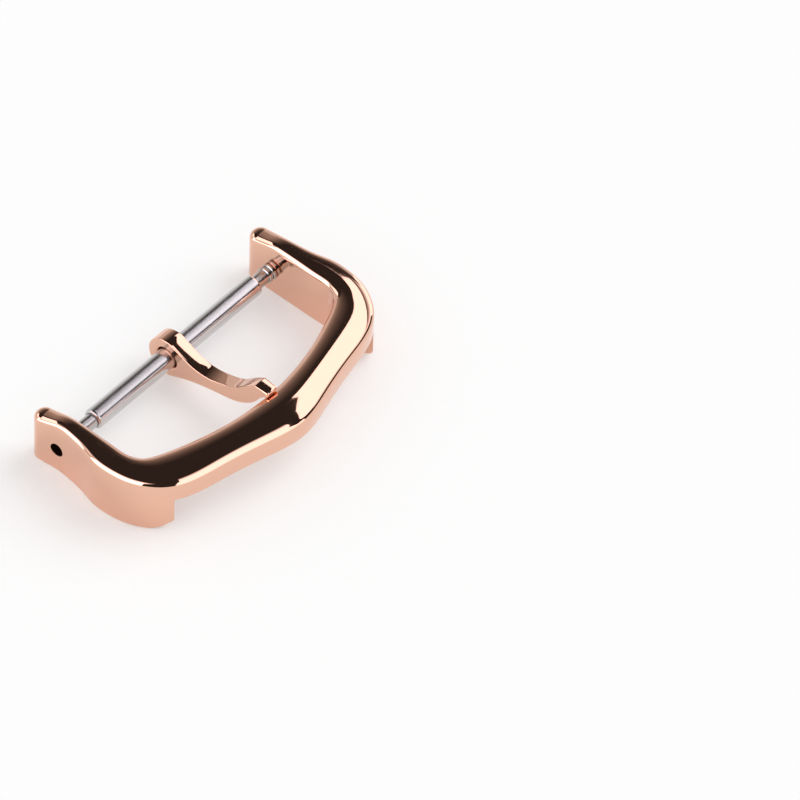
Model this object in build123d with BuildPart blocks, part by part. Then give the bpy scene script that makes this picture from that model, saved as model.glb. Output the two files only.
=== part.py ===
"""Watch strap tang buckle: a cast frame, a tongue and a sprung bar, in millimetres.

X runs along the spring bar, Y from the bar to the front of the frame, Z up.
The origin is on the bar's axis, midway between the arms.
"""

import math
import os

from build123d import *

# Frame, seen from above
inside_width = 20.0
ear_thickness = 1.5
waist_thickness = 1.38
arm_thickness = 2.06
ear_overhang = 2.33
leg_reach_share = 1.593  # of the corner's distance from the bar
leg_rounding = 1.45
inner_reach = 8.4
inner_sag = 2.6
front_reach = 11.74
front_fall = 2.6
peak_softness_share = 0.085

# Frame, seen from the side
axis_height = 2.0
side_height = 4.0
slot_height = 2.72
slot_margin = 0.05
ear_drop = 0.5
arm_crown = 0.55
front_crown = 0.7
crown_corner_share = 0.75
crown_flat_share = 0.58
pin_hole_diameter = 1.05

# Sections of one half of the frame, by shares.
# Ear: of the way from the bar to the end's centre, of the ear's thickness, and of its drop.
ear_shares = ((1.0, 1.0, 1.0), (0.6, 0.97, 0.65))
# Arm: of the way from the bar to the corner, from waist to full thickness, and of the drop.
arm_shares = ((0.0, 0.0, 0.15), (0.22, 0.15, 0.0), (0.45, 0.5, 0.0), (0.65, 0.94, 0.0))
# Corner: inner point, then outer point, across the half width and the corner's distance.
corner_shares = (
    (1.0, 0.83, 1.0, 0.88),
    (0.975, 0.97, 0.977, 1.145),
    (0.905, 1.081, 0.886, 1.465),
)
# Front bar: of the half width, on the inner edge and on the outer edge.
bar_shares = ((0.76, 0.905), (0.52, 0.62), (0.26, 0.31), (0.0, 0.0))

# Spring bar
tube_diameter = 1.5
tube_bore = 1.24
tube_length = 16.2
tube_drift = 0.25
mouth_length = 0.3
mouth_taper = 0.12
sliding_clearance = 0.03
pin_head_diameter = 1.18
pin_head_length = 1.0
pin_stem_diameter = 1.05
pin_reserve = 0.35
flange_diameter = 1.22
flange_length = 0.25
groove_diameter = 0.9
groove_length = 0.15
tip_clearance = 0.075
tip_length = 0.85
tip_taper = 0.16
seat_clearance = 0.03

# Coil spring inside the tube
wire_diameter = 0.2
spring_clearance = 0.06
spring_turns = 7
wire_sides = 4

# Tongue, seen from the side with its eye round the bar
tongue_width = 1.25
tongue_tip_width = 1.0
tongue_drift = 0.15
eye_diameter = 3.15
eye_clearance = 0.09
eye_top_degrees = 76
eye_bottom_degrees = -80
nose_rounding = 0.12
# Back and belly, each point by shares: of the way from the bar to the front bar's inner edge,
# and of the front bar's height over the bar's axis.
back_shares = (
    (0.155, 0.4),
    (0.274, 0.27),
    (0.405, 0.244),
    (0.583, 0.381),
    (0.702, 0.556),
    (0.8, 0.83),
    (0.911, 1.104),
)
belly_shares = (
    (0.226, -0.315),
    (0.417, -0.14),
    (0.583, -0.03),
    (0.702, 0.06),
    (0.81, 0.225),
    (0.905, 0.48),
    (0.982, 0.815),
    (1.09, 1.074),
)

half_inside = inside_width / 2
outer_face = half_inside + arm_thickness
corner_reach = inner_reach - inner_sag
leg_reach = leg_reach_share * corner_reach
bottom = -axis_height
edge_height = side_height - axis_height
overrun = side_height
below = bottom - overrun / 2


def inner_edge(share):
    """Y of the front bar's inner edge: one shallow arc from arm to arm."""
    return inner_reach - inner_sag * share**2


def front_edge(share):
    """Y of the front bar's outer edge: straight flanks that fall away from a soft peak."""
    slope = math.hypot(share, peak_softness_share) - peak_softness_share
    return front_reach - front_fall * slope


# Each station holds its inner point, its outer point, its edge's height and its dome's rise
ear_back = ear_thickness / 2 - ear_overhang
stations = []
for along, across, drop in ear_shares:
    y = along * ear_back
    outer = (half_inside + across * ear_thickness, y)
    stations.append(((half_inside, y), outer, edge_height - drop * ear_drop, arm_crown))
for along, across, drop in arm_shares:
    y = along * corner_reach
    outer = (half_inside + waist_thickness + across * (arm_thickness - waist_thickness), y)
    stations.append(((half_inside, y), outer, edge_height - drop * ear_drop, arm_crown))
for inner_x, inner_y, outer_x, outer_y in corner_shares:
    inner = (inner_x * half_inside, inner_y * corner_reach)
    outer = (outer_x * outer_face, outer_y * corner_reach)
    stations.append((inner, outer, edge_height, arm_crown))
for inner_x, outer_x in bar_shares:
    rise = front_crown + (arm_crown - front_crown) * inner_x
    inner = (inner_x * half_inside, inner_edge(inner_x))
    outer = (outer_x * half_inside, front_edge(outer_x))
    stations.append((inner, outer, edge_height, rise))


def section_plane(inner, outer):
    """Upright plane through an inner and an outer point, its X pointing outwards."""
    middle = Vector((inner[0] + outer[0]) / 2, (inner[1] + outer[1]) / 2, 0)
    across = Vector(outer[0] - inner[0], outer[1] - inner[1], 0)
    return Plane(origin=middle, x_dir=across, z_dir=across.cross(Vector(0, 0, 1)))


def half_crown(width, edge, rise, side=1):
    """Control points of one half of the domed top, from its edge to the middle of the section."""
    half = side * width / 2
    return [
        (half, edge),
        (half, edge + crown_corner_share * rise),
        (half * crown_flat_share, edge + rise),
        (0, edge + rise),
    ]


whole_run = [((-i[0], i[1]), (-o[0], o[1]), edge, rise) for i, o, edge, rise in stations[:-1]]
whole_run += list(reversed(stations))

with BuildPart() as frame:
    for inner, outer, edge, rise in whole_run:
        width = math.dist(inner, outer)
        with BuildSketch(section_plane(inner, outer)):
            with BuildLine():
                outer_half = Bezier(*half_crown(width, edge, rise))
                inner_half = Bezier(*half_crown(width, edge, rise, side=-1))
                Polyline(outer_half @ 0, (width / 2, below), (-width / 2, below), inner_half @ 0)
            make_face()
    loft()
    # Rounded open end of each arm: half of the arm's own section, turned half round
    for side in (-1, 1):
        ear_middle = (side * (half_inside + ear_thickness / 2), ear_back, 0)
        with BuildSketch(Plane(origin=ear_middle, x_dir=(1, 0, 0), z_dir=(0, -1, 0))):
            with BuildLine():
                rim = Bezier(*half_crown(ear_thickness, edge_height - ear_drop, arm_crown))
                Polyline(rim @ 0, (ear_thickness / 2, below), (0, below), rim @ 1)
            make_face()
        revolve(axis=Axis(ear_middle, (0, 0, -1)), revolution_arc=180)
    # Flat, level feet
    with BuildSketch(Plane.XY.offset(bottom)):
        Rectangle(2 * outer_face + overrun, 2 * front_reach + overrun)
    extrude(amount=-overrun, mode=Mode.SUBTRACT)
    # Passage for the strap under the front bar, all but level with the arms' inner faces
    with BuildSketch(Plane.XY.offset(bottom - overrun)):
        passage = inside_width - 2 * slot_margin
        Rectangle(passage, front_reach + overrun, align=(Align.CENTER, Align.MIN))
    extrude(amount=overrun + slot_height, mode=Mode.SUBTRACT)
    # Curl of each leg's underside at its front corner
    with BuildSketch(Plane.YZ):
        with Locations((leg_reach - leg_rounding, bottom + leg_rounding)):
            Rectangle(leg_rounding + overrun, leg_rounding + overrun, align=(Align.MIN, Align.MAX))
            Circle(leg_rounding, mode=Mode.SUBTRACT)
    extrude(amount=outer_face + overrun, both=True, mode=Mode.SUBTRACT)
    # Holes for the bar's tips, drilled through both arms
    with BuildSketch(Plane.YZ):
        Circle(pin_hole_diameter / 2)
    extrude(amount=inside_width, both=True, mode=Mode.SUBTRACT)

tube_end = tube_length / 2
tube_radius = tube_diameter / 2
bore_radius = tube_bore / 2
mouth_radius = pin_stem_diameter / 2 + sliding_clearance

with BuildPart() as spring_bar_tube:
    with BuildSketch(Plane.XZ.shift_origin((-tube_drift, 0, 0))):
        with BuildLine():
            Polyline(
                (-tube_end, mouth_radius),
                (-tube_end, tube_radius),
                (tube_end, tube_radius),
                (tube_end, mouth_radius),
                (tube_end - mouth_length, mouth_radius),
                (tube_end - mouth_length, bore_radius),
                (mouth_length - tube_end, bore_radius),
                (mouth_length - tube_end, mouth_radius),
                close=True,
            )
        make_face()
        chamfer(vertices().group_by(Axis.Y)[-1], mouth_taper)
    revolve(axis=Axis.X)

# Distances along a pin, outwards from the middle of the bar
shoulder = half_inside - seat_clearance
collar_start = shoulder - 2 * flange_length - groove_length
head_end = tube_end - tube_drift - mouth_length - pin_reserve
head_start = head_end - pin_head_length
tip_radius = pin_hole_diameter / 2 - tip_clearance

with BuildPart() as spring_bar_pin_right:
    with BuildSketch(Plane.XZ):
        with BuildLine():
            Polyline(
                (head_start, 0),
                (head_start, pin_head_diameter / 2),
                (head_end, pin_head_diameter / 2),
                (head_end, pin_stem_diameter / 2),
                (collar_start, pin_stem_diameter / 2),
                (collar_start, flange_diameter / 2),
                (collar_start + flange_length, flange_diameter / 2),
                (collar_start + flange_length, groove_diameter / 2),
                (shoulder - flange_length, groove_diameter / 2),
                (shoulder - flange_length, flange_diameter / 2),
                (shoulder, flange_diameter / 2),
                (shoulder, tip_radius),
                (shoulder + tip_length, tip_radius),
                (shoulder + tip_length, 0),
                close=True,
            )
        make_face()
        chamfer(vertices().group_by(Axis.X)[-1].sort_by(Axis.Y)[-1], tip_taper)
    revolve(axis=Axis.X)

with BuildPart() as spring_bar_pin_left:
    add(mirror(spring_bar_pin_right.part, about=Plane.YZ, mode=Mode.PRIVATE))

wire_radius = wire_diameter / 2
coil_radius = bore_radius - spring_clearance - wire_radius
coil_end = head_start - sliding_clearance - wire_radius
coil_pitch = 2 * coil_end / spring_turns

with BuildPart() as spring_bar_spring:
    with BuildLine():
        turns = Helix(coil_pitch, 2 * coil_end, coil_radius, center=(-coil_end, 0, 0), direction=(1, 0, 0))
    with BuildSketch(Plane(origin=turns @ 0, z_dir=turns % 0)):
        RegularPolygon(wire_radius, wire_sides)
    sweep(is_frenet=True)

eye_radius = eye_diameter / 2
eye_bore = tube_radius + eye_clearance
front_top = edge_height + front_crown
back = [Vector(along * inner_reach, up * front_top) for along, up in back_shares]
belly = [Vector(along * inner_reach, up * front_top) for along, up in belly_shares]
crest, nose = back[-1], belly[-1]

with BuildPart() as tongue:
    with BuildSketch(Plane.YZ.offset(-tongue_drift)):
        with BuildLine():
            eye_top = Vector(eye_radius, 0).rotate(Axis.Z, eye_top_degrees)
            eye_bottom = Vector(eye_radius, 0).rotate(Axis.Z, eye_bottom_degrees)
            ThreePointArc(eye_top, (-eye_radius, 0), eye_bottom)
            Spline(eye_bottom, *belly)
            Line(nose, crest)
            Spline(crest, *reversed(back[:-1]), eye_top)
        make_face()
        fillet(vertices().sort_by(Axis.X)[-1], nose_rounding)
        Circle(eye_bore, mode=Mode.SUBTRACT)
    extrude(amount=tongue_width / 2, both=True)
    # Seen from above, it tapers to a round tip
    tip_middle = nose.X - tongue_tip_width / 2
    with BuildSketch(Plane((-tongue_drift, 0, -front_top))):
        with BuildLine():
            taper = Polyline(
                (tongue_tip_width / 2, tip_middle),
                (tongue_width / 2, 0),
                (tongue_width / 2, -eye_diameter),
                (-tongue_width / 2, -eye_diameter),
                (-tongue_width / 2, 0),
                (-tongue_tip_width / 2, tip_middle),
            )
            ThreePointArc(taper @ 1, (0, nose.X), taper @ 0)
        make_face()
    extrude(amount=3 * front_top, mode=Mode.INTERSECT)

pieces = {
    "frame": frame,
    "tongue": tongue,
    "spring_bar_tube": spring_bar_tube,
    "spring_bar_pin_right": spring_bar_pin_right,
    "spring_bar_pin_left": spring_bar_pin_left,
    "spring_bar_spring": spring_bar_spring,
}
os.makedirs("parts", exist_ok=True)
for name, piece in pieces.items():
    piece.part.label = name
    export_step(piece.part, f"parts/{name}.step")
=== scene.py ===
"""Watch strap tang buckle: a polished rose gold frame and tongue on a sprung steel bar.

Sizes are in millimetres and are turned to metres as each mesh is made. X runs along the bar,
Y from the bar to the front of the frame, Z up, with the origin on the bar's axis.
"""

import math

import bmesh
import bpy
import numpy as np
from mathutils import Matrix, Vector


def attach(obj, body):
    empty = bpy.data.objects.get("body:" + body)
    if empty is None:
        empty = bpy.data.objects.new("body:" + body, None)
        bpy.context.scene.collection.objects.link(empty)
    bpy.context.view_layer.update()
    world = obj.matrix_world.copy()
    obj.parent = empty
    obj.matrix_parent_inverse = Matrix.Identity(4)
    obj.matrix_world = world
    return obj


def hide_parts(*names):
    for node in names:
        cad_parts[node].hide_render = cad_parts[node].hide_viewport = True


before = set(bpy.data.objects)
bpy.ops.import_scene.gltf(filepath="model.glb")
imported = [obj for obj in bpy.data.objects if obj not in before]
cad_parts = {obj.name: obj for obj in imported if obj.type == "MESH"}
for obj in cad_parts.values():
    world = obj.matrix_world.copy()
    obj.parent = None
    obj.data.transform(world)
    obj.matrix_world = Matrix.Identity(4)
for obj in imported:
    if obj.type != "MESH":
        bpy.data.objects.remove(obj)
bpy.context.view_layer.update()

# Frame: one casting, two arms with drilled ears and the front bar that joins them.
# Investment cast, ground flat on its feet, polished to a mirror and plated with rose gold.
# The top is a soft dome, and the walls drop straight from its edges.
MM = 0.001
weld_distance = 1e-4
half_inside = 10.0
outer_face = 12.06
ear_thickness = 1.5
waist_thickness = 1.38
ear_back = -1.58
inner_reach = 8.4
inner_sag = 2.6
front_reach = 11.74
front_fall = 2.6
peak_softness_share = 0.085
foot_height = -2.0
edge_height = 2.0
passage_height = 0.72
passage_margin = 0.05
ear_drop = 0.5
arm_crown = 0.55
front_crown = 0.7
crown_corner_share = 0.75
crown_flat_share = 0.58
leg_reach = 9.24
leg_rounding = 1.45
edge_rounding = 0.1
pin_hole_radius = 0.525
corner_reach = inner_reach - inner_sag
passage_side = half_inside - passage_margin
run_step = 0.16
crown_steps = 14
rounding_steps = 4
foot_steps = 4
ear_turn_steps = 36
drill_steps = 96
drill_length_share = 1.2  # of the frame's half width, so that it runs past both ears

# Ear: of the way from the bar to the end's centre, of the ear's thickness, and of its drop.
ear_shares = ((1.0, 1.0, 1.0), (0.6, 0.97, 0.65))
# Arm: of the way from the bar to the corner, from waist to full thickness, and of the drop.
arm_shares = ((0.0, 0.0, 0.15), (0.22, 0.15, 0.0), (0.45, 0.5, 0.0), (0.65, 0.94, 0.0))
# Corner: of the inside's half width and the corner's distance, then of the outer face's place
# and the corner's distance.
corner_shares = (
    (1.0, 0.83, 1.0, 0.88),
    (0.975, 0.97, 0.977, 1.145),
    (0.905, 1.081, 0.886, 1.465),
)
# Front bar: of the inside's half width, on the inner edge and on the outer edge.
bar_shares = ((0.76, 0.905), (0.52, 0.62), (0.26, 0.31), (0.0, 0.0))


def front_edge(share):
    """Y of the front bar's outer edge: straight flanks that fall away from a soft peak."""
    return front_reach - front_fall * (math.hypot(share, peak_softness_share) - peak_softness_share)


def smooth_run(rows, step):
    """Rows on the smoothest curve through the given rows, about a step apart."""
    rows = np.array(rows, float)
    spans = np.linalg.norm(np.diff(rows, axis=0), axis=1)[:, None]
    slopes = np.diff(rows, axis=0) / spans
    system = np.eye(len(rows))
    turns = np.zeros_like(rows)
    for i in range(1, len(rows) - 1):
        before, after = spans[i - 1, 0], spans[i, 0]
        system[i, i - 1 : i + 2] = before, 2 * (before + after), after
        turns[i] = 6 * (slopes[i] - slopes[i - 1])
    bends = np.linalg.solve(system, turns)
    run = [rows[0]]
    for i, span in enumerate(spans[:, 0]):
        for part in np.linspace(0, 1, max(2, round(span / step)) + 1)[1:]:
            left, right = (1 - part) * span, part * span
            point = (bends[i] * left**3 + bends[i + 1] * right**3) / (6 * span)
            point += (rows[i] / span - bends[i] * span / 6) * left
            point += (rows[i + 1] / span - bends[i + 1] * span / 6) * right
            run.append(point)
    return run


def round_foot(across, height, radius, side):
    """Points round the lower edge of a wall, from the wall to the level foot."""
    angles = np.linspace(0, math.pi / 2, rounding_steps + 1)
    return [
        (across - side * radius * (1 - math.cos(a)), height + radius * (1 - math.sin(a)))
        for a in angles
    ]


def leg_foot(y):
    """Height of a leg's underside, which curls up at the leg's front corner."""
    over = min(max(y - (leg_reach - leg_rounding), 0), leg_rounding)
    return foot_height + leg_rounding - math.sqrt(leg_rounding**2 - over**2)


def frame_ring(row, has_leg, rounding=edge_rounding):
    """Closed section of the frame from the middle of its foot over the dome and back."""
    inner, outer, edge, rise = Vector(row[0:2]), Vector(row[2:4]), row[4], row[5]
    width = (outer - inner).length
    half = width / 2
    # The passage's side cuts through a leg's section. A section without a leg isn't cut.
    cut_share = min(max((passage_side - inner.x) / (outer.x - inner.x), 0), 1) if has_leg else 1
    cut = -half + cut_share * width
    inner_rounding = min(edge_rounding, (cut + half) / 2)
    if has_leg:
        rounding = min(rounding, (half - cut) / 2)
    else:
        cut = half - rounding

    def underside(across):
        """Height of the section's underside at a distance from its middle."""
        return leg_foot(inner.lerp(outer, across / width + 0.5).y) if has_leg else passage_height

    outer_corner = round_foot(half, underside(half), rounding, 1)
    cut_corner = round_foot(cut, underside(cut), rounding if has_leg else 0, -1)
    parts = np.linspace(0, 1, 2 * foot_steps + 1)
    foot_run = [cut_corner[-1][0] * (1 - part) + outer_corner[-1][0] * part for part in parts]
    foot = [(across, underside(across)) for across in foot_run]
    crown = []
    for t in np.linspace(0, 1, crown_steps + 1):
        across = half * ((1 - t) ** 3 + 3 * t * (1 - t) ** 2 + 3 * crown_flat_share * t**2 * (1 - t))
        climb = 3 * crown_corner_share * t * (1 - t) ** 2 + 3 * t**2 * (1 - t) + t**3
        crown.append((across, edge + rise * climb))
    ring = foot[foot_steps:-1] + outer_corner[::-1]
    ring += [(half, max(passage_height, outer_corner[0][1]))] + crown
    ring += [(-across, z) for across, z in crown[-2::-1]]
    ring += round_foot(-half, passage_height, inner_rounding, -1) + [(cut, passage_height)]
    ring += cut_corner + foot[1:foot_steps]
    along = (outer - inner) / width
    middle = (inner + outer) / 2
    return [Vector((*(middle + along * across), z)) for across, z in ring]


def circle(x, radius, steps):
    """Points evenly round the bar's axis, at a place along it."""
    angles = np.linspace(0, 2 * math.pi, steps, endpoint=False)
    return [Vector((x, radius * math.cos(a), radius * math.sin(a))) for a in angles]


def new_mesh(name, rings, closed=True):
    """Mesh object through rings of points, its doubles merged and its faces outwards."""
    sheet = bmesh.new()
    grid = [[sheet.verts.new(Vector(p) * MM) for p in ring] for ring in rings]
    for row, after in zip(grid, grid[1:]):
        for i in range(len(row) if closed else len(row) - 1):
            j = (i + 1) % len(row)
            sheet.faces.new((row[i], row[j], after[j], after[i]))
    bmesh.ops.remove_doubles(sheet, verts=sheet.verts, dist=weld_distance * MM)
    bmesh.ops.dissolve_degenerate(sheet, edges=sheet.edges, dist=weld_distance * MM)
    bmesh.ops.recalc_face_normals(sheet, faces=sheet.faces)
    mesh = bpy.data.meshes.new(name)
    sheet.to_mesh(mesh)
    sheet.free()
    piece = bpy.data.objects.new(name, mesh)
    bpy.context.scene.collection.objects.link(piece)
    return piece


def apply_modifiers(piece):
    """Turns the piece's modifiers into plain mesh."""
    depsgraph = bpy.context.evaluated_depsgraph_get()
    plain = bpy.data.meshes.new_from_object(piece.evaluated_get(depsgraph))
    piece.modifiers.clear()
    piece.data = plain


def polish_edges(piece, degrees=40):
    """Smooth shading that keeps every edge sharper than the angle."""
    piece.data.shade_smooth()
    piece.data.set_sharp_from_angle(angle=math.radians(degrees))


# Each row holds its inner point, its outer point, its edge's height and its dome's rise.
# Rows run from the front bar's peak round the corner and along the arm to the ear.
rows = []
for inner_x, outer_x in bar_shares[::-1]:
    rise = front_crown + (arm_crown - front_crown) * inner_x
    inner = (inner_x * half_inside, inner_reach - inner_sag * inner_x**2)
    outer = (outer_x * half_inside, front_edge(outer_x))
    rows.append((*inner, *outer, edge_height, rise))
for inner_x, inner_y, outer_x, outer_y in corner_shares[::-1]:
    inner = (inner_x * half_inside, inner_y * corner_reach)
    outer = (outer_x * outer_face, outer_y * corner_reach)
    rows.append((*inner, *outer, edge_height, arm_crown))
sides = []
for along, across, drop in arm_shares[::-1]:
    thickness = waist_thickness + across * (outer_face - half_inside - waist_thickness)
    sides.append((along * corner_reach, thickness, drop))
for along, across, drop in ear_shares[::-1]:
    sides.append((along * ear_back, across * ear_thickness, drop))
for y, thickness, drop in sides:
    rows.append((half_inside, y, half_inside + thickness, y, edge_height - drop * ear_drop, arm_crown))

# The curve runs from ear to ear, so that it is smooth over the peak, and its right half is kept.
mirrored = [(-r[0], r[1], -r[2], r[3], r[4], r[5]) for r in rows[:0:-1]]
run = smooth_run(mirrored + rows, run_step)
run = run[len(run) // 2 :]
rings = []
for row, after in zip(run, run[1:]):
    rings.append(frame_ring(row, row[2] > passage_side))
    if row[2] <= passage_side < after[2]:
        at_cut = row + (after - row) * (passage_side - row[2]) / (after[2] - row[2])
        rings += [frame_ring(at_cut, False, 0), frame_ring(at_cut, True)]
rings.append(frame_ring(run[-1], True))

# Rounded ear end: the last section's outer half, from the foot to the crown, turned half round.
half_ring = rings[-1][: foot_steps + rounding_steps + crown_steps + 3]
ear_middle = Vector((half_inside + ear_thickness / 2, ear_back, 0))
ear_rings = []
for turn in np.linspace(0, math.pi, ear_turn_steps + 1):
    swivel = Matrix.Rotation(-turn, 3, "Z")
    ear_rings.append([ear_middle + swivel @ (point - ear_middle) for point in half_ring])

buckle_frame = new_mesh("buckle_frame", rings)
ear_end = new_mesh("ear_end", ear_rings, closed=False)
whole = bmesh.new()
whole.from_mesh(buckle_frame.data)
whole.from_mesh(ear_end.data)
bpy.data.objects.remove(ear_end)
twin = bmesh.ops.duplicate(whole, geom=whole.verts[:] + whole.edges[:] + whole.faces[:])["geom"]
for vertex in (v for v in twin if isinstance(v, bmesh.types.BMVert)):
    vertex.co.x = -vertex.co.x
bmesh.ops.remove_doubles(whole, verts=whole.verts, dist=weld_distance * MM)
bmesh.ops.recalc_face_normals(whole, faces=whole.faces)
whole.to_mesh(buckle_frame.data)
whole.free()

drill_reach = drill_length_share * outer_face
drill = new_mesh("drill", [circle(x, pin_hole_radius, drill_steps) for x in (-drill_reach, drill_reach)])
caps = bmesh.new()
caps.from_mesh(drill.data)
bmesh.ops.holes_fill(caps, edges=caps.edges, sides=drill_steps)
bmesh.ops.recalc_face_normals(caps, faces=caps.faces)
caps.to_mesh(drill.data)
caps.free()
drilling = buckle_frame.modifiers.new("drilled", "BOOLEAN")
drilling.operation = "DIFFERENCE"
drilling.solver = "EXACT"
drilling.object = drill
apply_modifiers(buckle_frame)
bpy.data.objects.remove(drill)
polish_edges(buckle_frame)


def linear(hex_colour):
    """Linear RGBA of an sRGB hex value."""
    parts = [int(hex_colour[i : i + 2], 16) / 255 for i in (1, 3, 5)]
    return [c / 12.92 if c <= 0.04045 else ((c + 0.055) / 1.055) ** 2.4 for c in parts] + [1.0]


def add_node(tree, kind, settings=None, **inputs):
    """Adds a node, sets its properties, and sets or links its inputs by name, or _0 by place."""
    node = tree.nodes.new(kind)
    for key, value in (settings or {}).items():
        setattr(node, key, value)
    for key, value in inputs.items():
        socket = node.inputs[int(key[1:]) if key[1:].isdigit() else key.replace("_", " ")]
        if isinstance(value, bpy.types.NodeSocket):
            tree.links.new(value, socket)
        else:
            socket.default_value = value
    return node


def new_material(name):
    """Material with an empty node tree, and that tree."""
    material = bpy.data.materials.new(name)
    material.use_nodes = True
    material.node_tree.nodes.clear()
    return material, material.node_tree


# Polished rose gold plate: a mirror whose buffed dome still shows a faint slow waviness and a
# buffing haze, drawn coarser than a real one so that it shows. Its tint comes from the copper.
waviness_mm = 1.4
waviness_depth_mm = 0.02
haze_mm = 0.12
noise_low, noise_high = 0.3, 0.7
rose_gold, tree = new_material("polished_rose_gold_plate")
place = add_node(tree, "ShaderNodeTexCoord").outputs["Object"]
waves = add_node(tree, "ShaderNodeTexNoise", Vector=place, Scale=1 / (waviness_mm * MM), Detail=1.0)
haze = add_node(tree, "ShaderNodeTexNoise", Vector=place, Scale=1 / (haze_mm * MM), Detail=2.0)
roughness = add_node(
    tree, "ShaderNodeMapRange", Value=haze.outputs["Fac"],
    From_Min=noise_low, From_Max=noise_high, To_Min=0.02, To_Max=0.055,
)
swell = add_node(
    tree, "ShaderNodeBump",
    Strength=0.05, Distance=waviness_depth_mm * MM, Height=waves.outputs["Fac"],
)
plate = add_node(
    tree, "ShaderNodeBsdfPrincipled",
    Base_Color=linear("#ECBCA4"), Metallic=1.0,
    Roughness=roughness.outputs["Result"], Normal=swell.outputs["Normal"],
)
add_node(tree, "ShaderNodeOutputMaterial", Surface=plate.outputs["BSDF"])

# Inside the drilled pin holes: a rough wall darkened with painted shade, so the holes look dark.
hole_wall_share = 1.001  # of the hole's radius: a face with all its corners within it is the wall
pin_hole_painted_shade, tree = new_material("painted_shade_in_pin_holes")
hole_shade_bsdf = add_node(
    tree, "ShaderNodeBsdfPrincipled", Base_Color=linear("#3A231B"), Metallic=1.0, Roughness=0.55,
)
add_node(tree, "ShaderNodeOutputMaterial", Surface=hole_shade_bsdf.outputs["BSDF"])

buckle_frame.data.materials.clear()
buckle_frame.data.materials.append(rose_gold)
buckle_frame.data.materials.append(pin_hole_painted_shade)
# Faces of the pin holes' walls take the painted shade.
for face in buckle_frame.data.polygons:
    corners = [buckle_frame.data.vertices[i].co for i in face.vertices]
    farthest = max(math.hypot(corner.y, corner.z) for corner in corners)
    if farthest < hole_wall_share * pin_hole_radius * MM:
        face.material_index = 1
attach(buckle_frame, "frame")
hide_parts("frame")

# Tongue: a small casting bent up at its tip, with an eye that turns on the bar's tube.
# Polished and plated as the frame is. Its back is buffed to a slight crown, its edges are
# broken by the polishing wheel, and seen from above it tapers to a round tip.
tongue_width = 1.25
tongue_tip_width = 1.0
tongue_drift = 0.15
eye_radius = 1.575
eye_bore = 0.84
eye_top_degrees = 76
eye_bottom_degrees = -80
bar_top = edge_height + front_crown
# Back and belly: of the way from the bar to the front bar's inner edge, and of the front
# bar's height over the bar's axis.
back_shares = (
    (0.155, 0.4), (0.274, 0.27), (0.405, 0.244), (0.583, 0.381), (0.702, 0.556), (0.8, 0.83),
    (0.911, 1.104),
)
belly_shares = (
    (0.226, -0.315), (0.417, -0.14), (0.583, -0.03), (0.702, 0.06), (0.81, 0.225), (0.905, 0.48),
    (0.982, 0.815), (1.09, 1.074),
)
nose_rounding = 0.16
crest_rounding = 0.17
back_crown = 0.018
broken_edge = 0.06
tip_edge = 0.15
tip_edge_start = 7.3
bore_break = 0.1
outline_step = 0.1
eye_steps = 60
bore_steps = 90
corner_steps = 6
facet_steps = 11
crown_rows = 5
edge_rows = 5
half_tongue = tongue_width / 2


def round_corner(before, corner, after, radius):
    """Points of the arc that rounds a corner of an outline."""
    back_way, on_way = (before - corner).normalized(), (after - corner).normalized()
    half_angle = back_way.angle(on_way) / 2
    middle = corner + (back_way + on_way).normalized() * radius / math.sin(half_angle)
    start = corner + back_way * radius / math.tan(half_angle) - middle
    end = corner + on_way * radius / math.tan(half_angle) - middle
    swing = start.angle(end)
    arc = []
    for t in np.linspace(0, 1, corner_steps + 1):
        spoke = (start * math.sin((1 - t) * swing) + end * math.sin(t * swing)) / math.sin(swing)
        arc.append(middle + spoke)
    return arc


def half_width(y):
    """Half the tongue's width at a distance from the bar: a straight taper to a round tip."""
    narrowing = (tongue_width - tongue_tip_width) / 2
    if y < tip_middle:
        return tongue_width / 2 - narrowing * max(y, 0) / tip_middle
    return math.sqrt(max((tongue_tip_width / 2) ** 2 - (y - tip_middle) ** 2, 0))


def skin_across(edge):
    """Points across the tongue's skin, by distance from its middle and depth: both edges round."""
    section = [(share * (half_tongue - edge), 0) for share in np.linspace(0, 1, crown_rows)[:-1]]
    for a in np.linspace(0, math.pi / 2, edge_rows):
        section.append((half_tongue - edge * (1 - math.sin(a)), edge * (1 - math.cos(a))))
    return [(-x, inset) for x, inset in section[:0:-1]] + section


# The outline runs round the eye, along the belly, over the tip and back along the back.
back = [(along * inner_reach, up * bar_top) for along, up in back_shares]
belly = [(along * inner_reach, up * bar_top) for along, up in belly_shares]
tip_middle = belly[-1][0] - tongue_tip_width / 2
eye_turn = np.radians(np.linspace(eye_top_degrees, 360 + eye_bottom_degrees, eye_steps))
eye = [Vector((eye_radius * math.cos(a), eye_radius * math.sin(a))) for a in eye_turn]
belly_run = [Vector(p) for p in smooth_run([eye[-1], *belly], outline_step)]
back_run = [Vector(p) for p in smooth_run([*back[::-1], eye[0]], outline_step)]
nose = round_corner(belly_run[-2], belly_run[-1], back_run[0], nose_rounding)
crest = round_corner(belly_run[-1], back_run[0], back_run[1], crest_rounding)
belly_run = [p for p in belly_run[1:-1] if p.x < nose[0].x]
facet = [nose[-1].lerp(crest[0], t) for t in np.linspace(0, 1, facet_steps + 1)[1:-1]]
outline = eye + belly_run + nose + facet + crest + back_run[1:-1]
# How much of the back's crown each point has: it fades round the eye, and the belly has none.
crowned = [min(max(p.y / eye_radius, 0), 1) for p in eye] + [0] * (len(belly_run) + len(nose) // 2)
crowned += [1] * (len(outline) - len(crowned))

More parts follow.
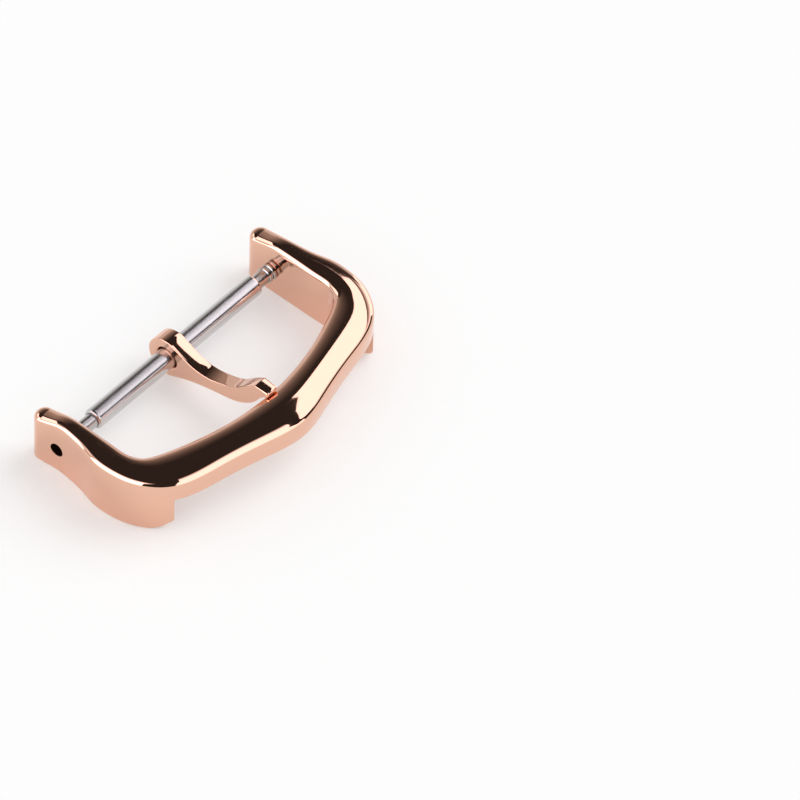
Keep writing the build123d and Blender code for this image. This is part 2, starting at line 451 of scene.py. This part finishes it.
casting = bmesh.new()
sweep = []
for i, here in enumerate(outline):
    way = outline[(i + 1) % len(outline)] - outline[i - 1]
    inwards = Vector((-way.y, way.x)).normalized()
    tip_share = (here.x - tip_edge_start) / (nose[-1].x - tip_edge_start)
    tip_share = min(max(tip_share, 0), 1) if crowned[i] else 0
    ring = []
    for across, inset in skin_across(broken_edge + (tip_edge - broken_edge) * tip_share**2):
        inset += crowned[i] * back_crown * (across / half_tongue) ** 2
        y, z = here + inwards * inset
        x = across * half_width(here.x) / half_tongue - tongue_drift
        ring.append(casting.verts.new(Vector((x, y, z)) * MM))
    sweep.append(ring)
for i, ring in enumerate(sweep):
    for k in range(len(ring) - 1):
        face = casting.faces.new((sweep[i - 1][k], ring[k], ring[k + 1], sweep[i - 1][k + 1]))
        face.smooth = True
# The eye's bore, from one side of the tongue to the other, with both its rims broken.
bore = []
for side in (-1, 1):
    rims = [(half_tongue, eye_bore + bore_break), (half_tongue - bore_break, eye_bore)]
    for across, radius in rims[::-side]:
        rim = circle(side * across - tongue_drift, radius, bore_steps)
        bore.append([casting.verts.new(point * MM) for point in rim])
for k in (0, -1):
    edges = [casting.edges.new((bore[k][i - 1], bore[k][i])) for i in range(bore_steps)]
    edges += [casting.edges.get((sweep[i - 1][k], sweep[i][k])) for i in range(len(sweep))]
    bmesh.ops.triangle_fill(
        casting, use_beauty=True, use_dissolve=False, edges=edges, normal=(1, 0, 0),
    )
for rim, next_rim in zip(bore, bore[1:]):
    for i in range(bore_steps):
        face = casting.faces.new((rim[i - 1], rim[i], next_rim[i], next_rim[i - 1]))
        face.smooth = True
bmesh.ops.recalc_face_normals(casting, faces=casting.faces)
tongue_mesh = bpy.data.meshes.new("buckle_tongue")
casting.to_mesh(tongue_mesh)
casting.free()
buckle_tongue = bpy.data.objects.new("buckle_tongue", tongue_mesh)
bpy.context.scene.collection.objects.link(buckle_tongue)
tongue_mesh.materials.append(rose_gold)
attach(buckle_tongue, "tongue")
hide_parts("tongue")

# Spring bar tube: thin drawn stainless tube, its two mouths rolled in over the pins.
# Bright, with drawing lines along it that stretch every reflection lengthwise. The lines are
# drawn coarser than real ones, so that they show.
tube_radius = 0.75
tube_bore_radius = 0.62
tube_half_length = 8.1
tube_drift = 0.25
mouth_length = 0.3
mouth_radius = 0.555
mouth_rounding = 0.17
rim_hold = 0.03  # from the rounding to a ring that keeps the shading level along the tube
rim_steps = 5
turned_steps = 96
draw_line_mm = 0.05
draw_line_length_mm = 2.5
draw_line_depth_mm = 0.004


def turned(name, outline):
    """Piece turned about the bar's axis from an outline of places along it and radii."""
    piece = new_mesh(name, [circle(x, radius, turned_steps) for x, radius in outline])
    polish_edges(piece, degrees=30)
    return piece


def round_rim(x, radius, rounding, side):
    """Outline points round the rim of a turned end, from its face to its outside."""
    angles = np.linspace(0, math.pi / 2, rim_steps + 1)
    return [
        (x - side * rounding * (1 - math.sin(a)), radius - rounding * (1 - math.cos(a)))
        for a in angles[::-1]
    ]


tube_outline = []
for side in (-1, 1):
    end = side * tube_half_length - tube_drift
    step = end - side * mouth_length
    rim = round_rim(end, tube_radius, mouth_rounding, side)
    rim.append((end - side * (mouth_rounding + rim_hold), tube_radius))
    inside = [(step, tube_bore_radius), (step, mouth_radius), (end, mouth_radius)]
    tube_outline += inside + rim if side < 0 else rim[::-1] + inside[::-1]
tube_outline.append(tube_outline[0])
bar_tube = turned("bar_tube_shell", tube_outline)

drawn_steel, tree = new_material("drawn_stainless_steel")
place = add_node(tree, "ShaderNodeTexCoord").outputs["Object"]
along, across = 1 / (draw_line_length_mm * MM), 1 / (draw_line_mm * MM)
stretched = add_node(tree, "ShaderNodeMapping", Vector=place, Scale=(along, across, across))
lines = add_node(tree, "ShaderNodeTexNoise", Vector=stretched.outputs["Vector"], Scale=1.0, Detail=2.0)
roughness = add_node(
    tree, "ShaderNodeMapRange", Value=lines.outputs["Fac"],
    From_Min=noise_low, From_Max=noise_high, To_Min=0.16, To_Max=0.24,
)
scores = add_node(
    tree, "ShaderNodeBump",
    Strength=0.05, Distance=draw_line_depth_mm * MM, Height=lines.outputs["Fac"],
)
steel = add_node(
    tree, "ShaderNodeBsdfPrincipled", Base_Color=linear("#CFCDCD"), Metallic=1.0,
    Roughness=roughness.outputs["Result"], Normal=scores.outputs["Normal"],
)
add_node(tree, "ShaderNodeOutputMaterial", Surface=steel.outputs["BSDF"])
bar_tube.data.materials.append(drawn_steel)
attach(bar_tube, "bar_tube")
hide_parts("spring_bar_tube")

# Spring bar pins: turned stainless, with a double flange for the fitting tool and a plain tip.
# The turning tool leaves fine rings round them, so they look greyer than the tube. Their ends are
# rough where they were parted from the rod, and dark with painted shade of the holes they sit in.
pin_head_radius = 0.59
pin_head_end = 7.2
pin_head_start = 6.2
pin_stem_radius = 0.525
shoulder = 9.97
flange_radius = 0.61
flange_length = 0.25
groove_radius = 0.45
groove_length = 0.15
collar_start = shoulder - 2 * flange_length - groove_length
tip_radius = 0.45
tip_length = 0.85
tip_rounding = 0.18
pin_break = 0.04
turning_mm = 0.06
turning_depth_mm = 0.006
band_spacing = 0.314  # between the wave texture's bands at a scale of 1, in metres

turned_steel, tree = new_material("turned_stainless_steel")
place = add_node(tree, "ShaderNodeTexCoord").outputs["Object"]
rings_pattern = add_node(
    tree, "ShaderNodeTexWave", {"wave_type": "BANDS", "bands_direction": "X"},
    Vector=place, Scale=band_spacing / (turning_mm * MM), Distortion=0.4, Detail=1.0,
)
grooves = add_node(
    tree, "ShaderNodeBump",
    Strength=0.35, Distance=turning_depth_mm * MM, Height=rings_pattern.outputs["Fac"],
)
pin_steel = add_node(
    tree, "ShaderNodeBsdfPrincipled", Base_Color=linear("#BDBBB9"), Metallic=1.0,
    Roughness=0.12, Normal=grooves.outputs["Normal"],
)
add_node(tree, "ShaderNodeOutputMaterial", Surface=pin_steel.outputs["BSDF"])
# Pin ends: rough steel darkened with painted shade of the pin holes.
pin_end_painted_shade, tree = new_material("painted_shade_on_pin_ends")
pin_end_shade_bsdf = add_node(
    tree, "ShaderNodeBsdfPrincipled", Base_Color=linear("#454341"), Metallic=1.0, Roughness=0.5,
)
add_node(tree, "ShaderNodeOutputMaterial", Surface=pin_end_shade_bsdf.outputs["BSDF"])
for name, side in (("right", 1), ("left", -1)):
    outline = [(pin_head_start, 0), (pin_head_start, pin_head_radius), (pin_head_end, pin_head_radius)]
    outline += [(pin_head_end, pin_stem_radius), (collar_start, pin_stem_radius)]
    for start in (collar_start, shoulder - flange_length):
        end = start + flange_length
        outline += [(start, flange_radius - pin_break), (start + pin_break, flange_radius)]
        outline += [(end - pin_break, flange_radius), (end, flange_radius - pin_break)]
        outline += [(end, groove_radius)]
        if start == collar_start:
            outline += [(shoulder - flange_length, groove_radius)]
    outline += [(shoulder, tip_radius)]
    outline += round_rim(shoulder + tip_length, tip_radius, tip_rounding, 1)[::-1]
    outline += [(shoulder + tip_length, 0)]
    pin = turned(f"bar_pin_{name}", [(side * x, radius) for x, radius in outline])
    pin.data.materials.append(turned_steel)
    pin.data.materials.append(pin_end_painted_shade)
    # The end faces inside the pin holes take the painted shade.
    for face in pin.data.polygons:
        if abs(face.center.x) > (shoulder + tip_length - pin_break) * MM:
            face.material_index = 1
    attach(pin, f"bar_pin_{name}")
    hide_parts(f"spring_bar_pin_{name}")

# Coil spring: hard drawn spring wire inside the tube, which pushes the two pins apart.
# Its CAD node already has the wire's coil, and the tube hides it.
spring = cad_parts["spring_bar_spring"]
spring_wire, tree = new_material("spring_wire")
wire = add_node(
    tree, "ShaderNodeBsdfPrincipled", Base_Color=linear("#A9A6A2"), Metallic=1.0, Roughness=0.3,
)
add_node(tree, "ShaderNodeOutputMaterial", Surface=wire.outputs["BSDF"])
spring.data.materials.clear()
spring.data.materials.append(spring_wire)

# Floor: a white table top that the buckle stands on. A little of its own light keeps it as pale
# as the photograph's background, with a soft shadow under the buckle.
floor_half = 400 * MM
floor_glow = 0.3
floor_mesh = bpy.data.meshes.new("floor")
floor_sides = ((-1, -1), (1, -1), (1, 1), (-1, 1))
floor_corners = [(x * floor_half, y * floor_half, foot_height * MM) for x, y in floor_sides]
floor_mesh.from_pydata(floor_corners, [], [(0, 1, 2, 3)])
floor = bpy.data.objects.new("floor", floor_mesh)
bpy.context.scene.collection.objects.link(floor)
white_table, tree = new_material("white_table")
matt = add_node(tree, "ShaderNodeBsdfDiffuse", Color=linear("#DADADA"))
glow = add_node(tree, "ShaderNodeEmission", Color=linear("#FFFFFF"), Strength=floor_glow)
both = add_node(tree, "ShaderNodeAddShader", _0=matt.outputs["BSDF"], _1=glow.outputs["Emission"])
add_node(tree, "ShaderNodeOutputMaterial", Surface=both.outputs["Shader"])
floor.data.materials.append(white_table)

# Daylight: an even white sky all round, and one wide soft lamp, high on the -X side, that gives
# the table its shadow. Mirror reflections don't see the lamp.
sky_strength = 0.7
lamp_strength = 1.25
lamp_spread = 50
lamp_from = Vector((-0.75, 0.35, 0.8))
world = bpy.data.worlds.new("studio")
bpy.context.scene.world = world
world.use_nodes = True
world.node_tree.nodes.clear()
sky = add_node(
    world.node_tree, "ShaderNodeBackground", Color=linear("#FFFFFF"), Strength=sky_strength,
)
add_node(world.node_tree, "ShaderNodeOutputWorld", Surface=sky.outputs["Background"])
window = bpy.data.lights.new("window", "SUN")
window.energy = lamp_strength
window.angle = math.radians(lamp_spread)
window_lamp = bpy.data.objects.new("window", window)
window_lamp.rotation_euler = lamp_from.to_track_quat("Z", "Y").to_euler()
window_lamp.visible_glossy = False
bpy.context.scene.collection.objects.link(window_lamp)

# Studio cards: flat cards over and round the table that only mirror reflections see. The black
# ceiling makes the dark dome, the three panels just under it its bright streaks, and the others
# shade its edges. Corners, and where a glow starts and stops, are in ceiling heights.
ceiling_height = 500 * MM
upper, lower, low = 1.01, 0.97, 0.95
wall_gap = 0.1
right_x, left_x, front_y = 0.98, -2.4, 2.5
black, dim, dusk, bright, brightest = 0.03, 0.12, 0.4, 1.9, 3.2
flag_tint, panel_tint = "#FFF2EC", "#FFF9FF"


def flat(height, *corners):
    """Corners of a level card."""
    return [(x, y, height) for x, y in corners]


def wall(start, end, foot=0):
    """Corners of an upright card from one place to another, up to the ceiling."""
    return [(*start, foot), (*end, foot), (*end, 1), (*start, 1)]


def hang_card(name, corners, glow_from, glow_to=None, axis="X", start=0, stop=1):
    """Card of one glow, or whose glow runs from one value to another along an axis."""
    glow_to = glow_from if glow_to is None else glow_to
    sheet = bpy.data.meshes.new(name)
    sheet.from_pydata([Vector(c) * ceiling_height for c in corners], [], [tuple(range(len(corners)))])
    card = bpy.data.objects.new(name, sheet)
    bpy.context.scene.collection.objects.link(card)
    glowing, tree = new_material(name)
    place = add_node(tree, "ShaderNodeTexCoord").outputs["Object"]
    along = add_node(tree, "ShaderNodeSeparateXYZ", Vector=place).outputs[axis]
    glow = add_node(
        tree, "ShaderNodeMapRange", Value=along,
        From_Min=start * ceiling_height, From_Max=stop * ceiling_height,
        To_Min=glow_from, To_Max=glow_to,
    )
    tint = linear(panel_tint if glow_to >= bright else flag_tint)
    lit = add_node(tree, "ShaderNodeEmission", Color=tint, Strength=glow.outputs["Result"])
    add_node(tree, "ShaderNodeOutputMaterial", Surface=lit.outputs["Emission"])
    glowing.cycles.emission_sampling = "NONE"
    sheet.materials.append(glowing)
    card.visible_camera = False
    card.visible_diffuse = False
    card.visible_shadow = False
    card.visible_transmission = False
    card.visible_volume_scatter = False


hang_card(
    "black_ceiling", flat(1, (-0.98, -1.6), (0.5, -1.6), (0.5, 2.6), (-2.6, 2.6), (-1.2, 0.5)), black,
)
hang_card(
    "right_ceiling", flat(1, (0.49, -0.9), (0.97, -0.9), (0.97, 0.4), (0.49, 0.4)),
    black, brightest, start=0.45, stop=0.97,
)
hang_card("black_corner", flat(upper, (0.49, 0.35), (3, 0.35), (3, 2.6), (0.49, 2.6)), black)
hang_card(
    "left_ceiling", flat(upper, (-2.4, -0.75), (-0.8, -0.75), (-0.8, 2), (-2.4, 0.75)),
    dim, bright, start=-1.2, stop=-2.2,
)
hang_card(
    "back_ceiling", flat(lower, (-2.6, -2.4), (-0.3, -2.4), (-0.3, -0.64), (-2.6, -0.64)),
    black, dusk, axis="Y", start=-0.64, stop=-1.9,
)
front_outline = (
    (-0.38, 0.2), (-0.1, 0.2), (0.03, 0.5), (0.15, 0.8), (0.32, 1.05), (0.95, 2.5), (-1.05, 2.5),
    (-0.42, 1.1),
)
hang_card("front_panel", flat(low, *front_outline), black, bright, axis="Y", start=0.2, stop=0.42)
left_outline = (
    (-0.66, -0.53), (-0.655, -0.42), (-0.61, -0.28), (-0.555, -0.1), (-0.545, 0.1), (-0.56, 0.4),
    (-0.6, 0.65), (-0.74, 1), (-1.05, 1.25), (-1.6, 1.25), (-1.42, 0.6), (-1.25, 0.3),
    (-1.14, 0.05), (-1.08, -0.25), (-1.05, -0.58), (-0.79, -0.55),
)
hang_card("left_panel", flat(low, *left_outline), bright)
ear_outline = ((-0.05, -1.12), (0.4, -1.05), (1, -1.15), (1, -2.3), (0.4, -2.2), (-0.1, -1.6))
hang_card("ear_panel", flat(low, *ear_outline), bright)
hang_card("right_wall", wall((right_x, -1.0), (right_x, 0.4)), brightest)
hang_card("black_wall", wall((right_x, 0.4), (right_x, 2.4)), black)
hang_card("left_wall", wall((left_x, -0.9), (left_x, 0.5)), bright)
hang_card("dark_left_wall", wall((left_x, 0.5), (left_x, front_y), wall_gap), black)
hang_card("front_wall", wall((-1.6, front_y), (1.1, front_y)), bright)
hang_card("dark_front_wall", wall((-2.6, front_y), (-1.6, front_y), wall_gap), black)

# Camera: a long lens at the photograph's angle, so far off that the view is all but parallel.
# The bar's middle stands at its pixel of the photograph, and the right of the frame is empty.
image_side_px = 800
pixels_per_mm = 15.06
bar_middle_px = (171.14, 354.12)
camera_azimuth = 129.79
camera_elevation = 48.79
camera_roll = 1.793
camera_distance = 1200 * MM
nearest_seen, farthest_seen = 100 * MM, 5000 * MM
sensor_width = 36.0

a, e, roll = (math.radians(d) for d in (camera_azimuth, camera_elevation, camera_roll))
ahead = Vector((-math.sin(a) * math.cos(e), math.cos(a) * math.cos(e), -math.sin(e)))
level = Vector((math.cos(a), math.sin(a), 0))
right = math.cos(roll) * level + math.sin(roll) * level.cross(ahead)
up = right.cross(ahead)
view_width = image_side_px / pixels_per_mm * MM
to_centre = Vector(image_side_px / 2 - p for p in bar_middle_px) * view_width / image_side_px
camera_data = bpy.data.cameras.new("camera")
camera_data.sensor_width = sensor_width
camera_data.lens = sensor_width * camera_distance / view_width
camera_data.clip_start, camera_data.clip_end = nearest_seen, farthest_seen
camera = bpy.data.objects.new("camera", camera_data)
camera.matrix_world = Matrix((
    (right.x, up.x, -ahead.x, 0), (right.y, up.y, -ahead.y, 0), (right.z, up.z, -ahead.z, 0), (0, 0, 0, 1),
))
camera.location = right * to_centre.x - up * to_centre.y - ahead * camera_distance
bpy.context.scene.collection.objects.link(camera)
bpy.context.scene.camera = camera
bpy.context.scene.view_settings.view_transform = "Standard"
